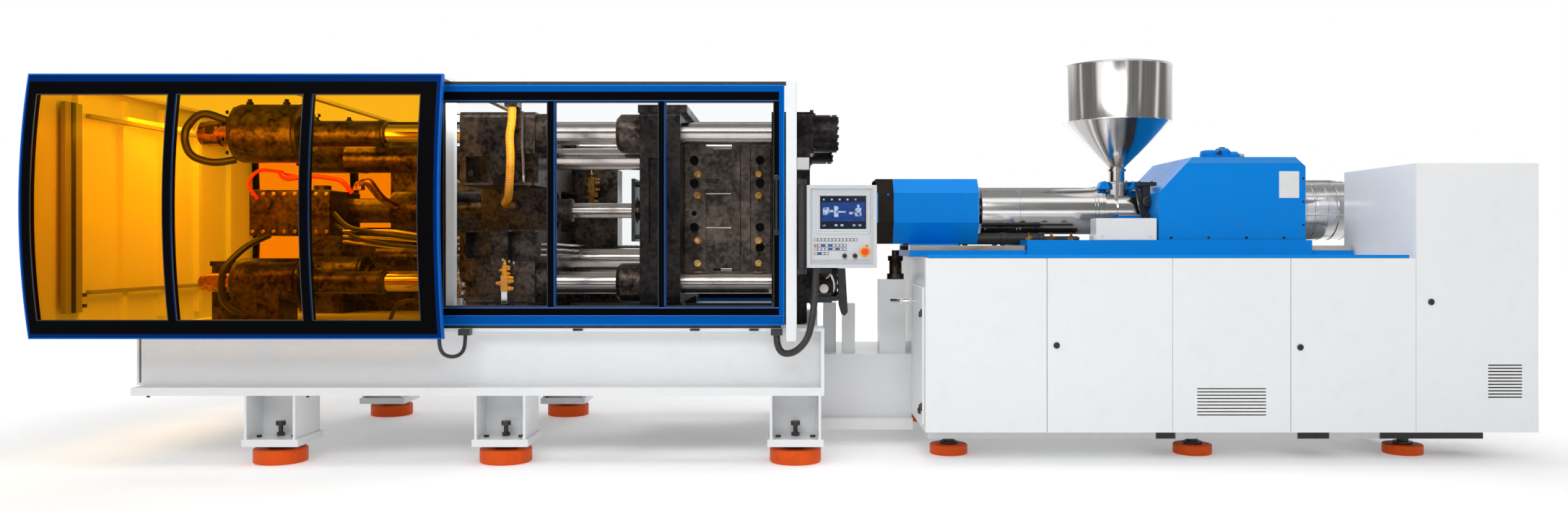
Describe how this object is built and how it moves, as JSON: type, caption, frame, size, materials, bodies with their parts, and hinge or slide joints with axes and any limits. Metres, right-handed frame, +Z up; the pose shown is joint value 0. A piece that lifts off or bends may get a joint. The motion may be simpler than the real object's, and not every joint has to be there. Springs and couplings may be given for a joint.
{
  "type": "injection moulding machine",
  "caption": "Horizontal hydraulic injection moulding machine with sliding guards, platens on tie bars, barrel with hopper and cabinet base.",
  "frame": {"origin": "on the floor, in the middle of the machine's length and width", "axes": "+X from the clamp end to the injection end, +Z up, operator side towards -Y"},
  "size_m": [9.29, 2.98, 2.674],
  "materials": {
    "white_paint": "satin powder coat",
    "orange_pad": "moulded",
    "black_steel": "black oxide",
    "dark_casting": "dark painted casting",
    "ground_steel": "ground and chromed",
    "bronze": "turned",
    "tool_steel": "milled",
    "navy_paint": "gloss",
    "amber_pane": "tinted safety pane",
    "blue_paint": "gloss",
    "clear_pane": "clear safety pane",
    "galvanised": "zinc plated",
    "grey_paint": "satin",
    "panel_grey": "fine texture",
    "screen_glass": "display",
    "signal_red": "gloss",
    "knob_black": "matte",
    "sky_blue_paint": "gloss",
    "polished_steel": "polished sheet",
    "dark_steel": "heat darkened",
    "yellow_hose": "fabric covered",
    "black_conduit": "corrugated"
  },
  "bodies": {
    "root": {"clamp_base": "white_paint", "clamp_legs": "white_paint", "machine_pads": "orange_pad", "levelling_screws": "black_steel", "base_skids": "black_steel", "bridge_frame": "white_paint", "fixed_platen": "dark_casting", "rear_platen": "dark_casting", "tie_bars": "ground_steel", "tie_bar_nuts": "dark_casting", "stretch_cylinders": "dark_casting", "stretch_caps": "bronze", "clamp_cylinders": "dark_casting", "fixed_mould": "tool_steel", "platen_rails": "black_steel", "hydraulic_blocks": "dark_casting", "guard_front_frame": "navy_paint", "guard_rear_frame": "navy_paint", "guard_windows": "amber_pane", "guard_end_wall": "white_paint", "gate_rails": "black_steel", "closing_posts": "white_paint", "low_cabinet": "white_paint", "tall_cabinet": "white_paint", "switch_panel": "galvanised", "oil_tank": "grey_paint", "pump_motor": "grey_paint", "panel_bracket": "black_steel", "injection_bed": "sky_blue_paint", "carriage_rails": "ground_steel", "hydraulic_hose": "yellow_hose", "control_conduit": "black_conduit", "guard_conduit": "black_conduit"},
    "platen": {"moving_platen": "dark_casting", "platen_bushes": "dark_casting", "piston_rods": "ground_steel", "moving_mould": "tool_steel"},
    "ejector": {"ejector": "black_steel"},
    "front_gate": {"front_gate_frame": "blue_paint", "front_gate_windows": "clear_pane"},
    "rear_gate": {"rear_gate_frame": "blue_paint", "rear_gate_windows": "clear_pane"},
    "panel": {"panel_housing": "panel_grey", "panel_screen": "screen_glass"},
    "stop_button": {"emergency_stop": "signal_red"},
    "left_knob": {"left_selector": "knob_black"},
    "right_knob": {"right_selector": "knob_black"},
    "carriage": {"carriage": "sky_blue_paint", "feed_throat": "polished_steel", "barrel": "dark_steel", "barrel_cover": "polished_steel", "nozzle": "dark_steel", "hopper": "polished_steel", "injection_cover": "sky_blue_paint"},
    "screw_drive": {"injection_drive": "polished_steel"},
    "screw": {"screw": "ground_steel"},
    "nozzle_guard": {"purge_guard": "sky_blue_paint"},
    "left_door": {"left_cabinet_door": "white_paint"},
    "right_door": {"right_cabinet_door": "white_paint"},
    "tall_door": {"tall_cabinet_door": "white_paint"}
  },
  "joints": [
    {"name": "platen_slide", "type": "slide", "parent": "root", "child": "platen", "axis": [-1, 0, 0], "range_m": [0, 0.45]},
    {"name": "ejector_slide", "type": "slide", "parent": "platen", "child": "ejector", "axis": [1, 0, 0], "range_m": [0, 0.05]},
    {"name": "front_gate_slide", "type": "slide", "parent": "root", "child": "front_gate", "axis": [-1, 0, 0], "range_m": [0, 1.85]},
    {"name": "rear_gate_slide", "type": "slide", "parent": "root", "child": "rear_gate", "axis": [-1, 0, 0], "range_m": [0, 1.85]},
    {"name": "panel_swivel", "type": "hinge", "parent": "root", "child": "panel", "pos_m": [0.055, -1.23, 1.495], "axis": [0, 0, 1], "range_deg": [-75, 45]},
    {"name": "stop_press", "type": "slide", "parent": "panel", "child": "stop_button", "axis": [0, 1, 0], "range_m": [0, 0.006]},
    {"name": "left_knob_turn", "type": "hinge", "parent": "panel", "child": "left_knob", "pos_m": [0.311, -1.31, 1.314], "axis": [0, 1, 0], "range_deg": [-45, 45]},
    {"name": "right_knob_turn", "type": "hinge", "parent": "panel", "child": "right_knob", "pos_m": [0.375, -1.31, 1.314], "axis": [0, 1, 0], "range_deg": [-45, 45]},
    {"name": "carriage_slide", "type": "slide", "parent": "root", "child": "carriage", "axis": [1, 0, 0], "range_m": [0, 0.3]},
    {"name": "screw_stroke", "type": "slide", "parent": "carriage", "child": "screw_drive", "axis": [-1, 0, 0], "range_m": [0, 0.2]},
    {"name": "screw_turn", "type": "hinge", "parent": "screw_drive", "child": "screw", "pos_m": [1.5, 0, 1.632], "axis": [1, 0, 0], "continuous": true},
    {"name": "nozzle_guard_slide", "type": "slide", "parent": "root", "child": "nozzle_guard", "axis": [1, 0, 0], "range_m": [0, 0.29]},
    {"name": "left_door_hinge", "type": "hinge", "parent": "root", "child": "left_door", "pos_m": [2.359, -1.2, 0.755], "axis": [0, 0, 1], "range_deg": [0, 90]},
    {"name": "right_door_hinge", "type": "hinge", "parent": "root", "child": "right_door", "pos_m": [3.878, -1.2, 0.755], "axis": [0, 0, 1], "range_deg": [0, 90]},
    {"name": "tall_door_hinge", "type": "hinge", "parent": "root", "child": "tall_door", "pos_m": [4.643, -1.2, 1.05], "axis": [0, 0, 1], "range_deg": [0, 90]}
  ]
}
